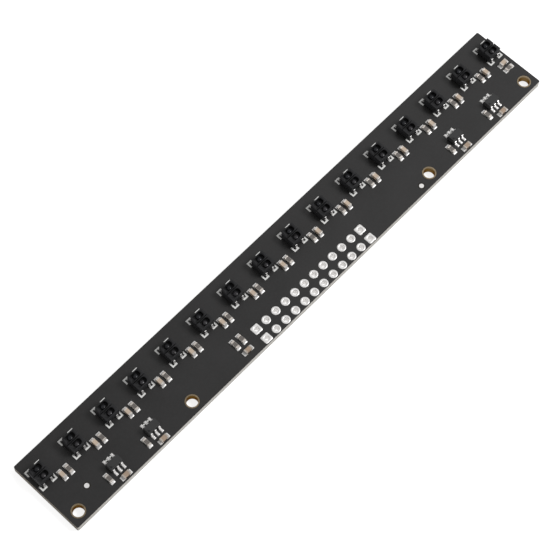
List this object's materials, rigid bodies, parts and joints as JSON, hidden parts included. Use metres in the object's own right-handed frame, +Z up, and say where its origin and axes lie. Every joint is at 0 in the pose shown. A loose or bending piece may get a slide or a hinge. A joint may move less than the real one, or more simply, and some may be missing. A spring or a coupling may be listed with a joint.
{
  "type": "line-following reflectance sensor board",
  "caption": "Long narrow black circuit board with a row of infrared reflectance sensors along one edge, a two-row pin header footprint and mounting holes along the other.",
  "frame": {"origin": "centre of the board's underside", "axes": "+X along the row of sensors, +Y across the board from the header edge to the sensor edge, +Z up out of the component side"},
  "size_m": [0.1244, 0.016, 0.0036],
  "materials": {
    "glass_epoxy": "matte",
    "solder_mask": "satin",
    "silkscreen_ink": "matte",
    "tinned_copper": "satin",
    "gold_plating": "satin",
    "sensor_plastic": "matte",
    "emitter_lens": "gloss",
    "detector_lens": "gloss",
    "tinned_lead": "satin",
    "chip_plastic": "matte",
    "capacitor_ceramic": "satin",
    "resistor_ceramic": "matte",
    "resistor_glaze": "satin",
    "tinned_terminal": "satin",
    "solder": "gloss"
  },
  "bodies": {
    "root": {"channel_capacitor_bodies": "capacitor_ceramic", "channel_capacitor_terminals": "tinned_terminal", "channel_resistor_bodies": "resistor_ceramic", "channel_resistor_coats": "resistor_glaze", "channel_resistor_terminals": "tinned_terminal", "channel_solder_joints": "solder", "detector_lenses": "detector_lens", "driver_ic_1": "chip_plastic", "driver_ic_2": "chip_plastic", "driver_ic_3": "chip_plastic", "driver_ic_4": "chip_plastic", "driver_ic_leads_1": "tinned_lead", "driver_ic_leads_2": "tinned_lead", "driver_ic_leads_3": "tinned_lead", "driver_ic_leads_4": "tinned_lead", "emitter_lenses": "emitter_lens", "fiducial_left": "tinned_copper", "fiducial_right": "tinned_copper", "header_plating_inner_row": "tinned_copper", "header_plating_outer_row": "tinned_copper", "mounting_hole_plating_1": "gold_plating", "mounting_hole_plating_2": "gold_plating", "mounting_hole_plating_3": "gold_plating", "mounting_hole_plating_4": "gold_plating", "pcb_core": "glass_epoxy", "sensor_housing_01": "sensor_plastic", "sensor_housing_02": "sensor_plastic", "sensor_housing_03": "sensor_plastic", "sensor_housing_04": "sensor_plastic", "sensor_housing_05": "sensor_plastic", "sensor_housing_06": "sensor_plastic", "sensor_housing_07": "sensor_plastic", "sensor_housing_08": "sensor_plastic", "sensor_housing_09": "sensor_plastic", "sensor_housing_10": "sensor_plastic", "sensor_housing_11": "sensor_plastic", "sensor_housing_12": "sensor_plastic", "sensor_housing_13": "sensor_plastic", "sensor_housing_14": "sensor_plastic", "sensor_housing_15": "sensor_plastic", "sensor_housing_16": "sensor_plastic", "sensor_leads": "tinned_lead", "silkscreen_bottom": "silkscreen_ink", "silkscreen_top": "silkscreen_ink", "solder_mask_bottom": "solder_mask", "solder_mask_top": "solder_mask", "support_capacitor_bodies": "capacitor_ceramic", "support_capacitor_terminals": "tinned_terminal", "support_resistor_bodies": "resistor_ceramic", "support_resistor_coats": "resistor_glaze", "support_resistor_terminals": "tinned_terminal", "support_solder_joints": "solder", "surface_pads": "tinned_copper"}
  },
  "joints": []
}
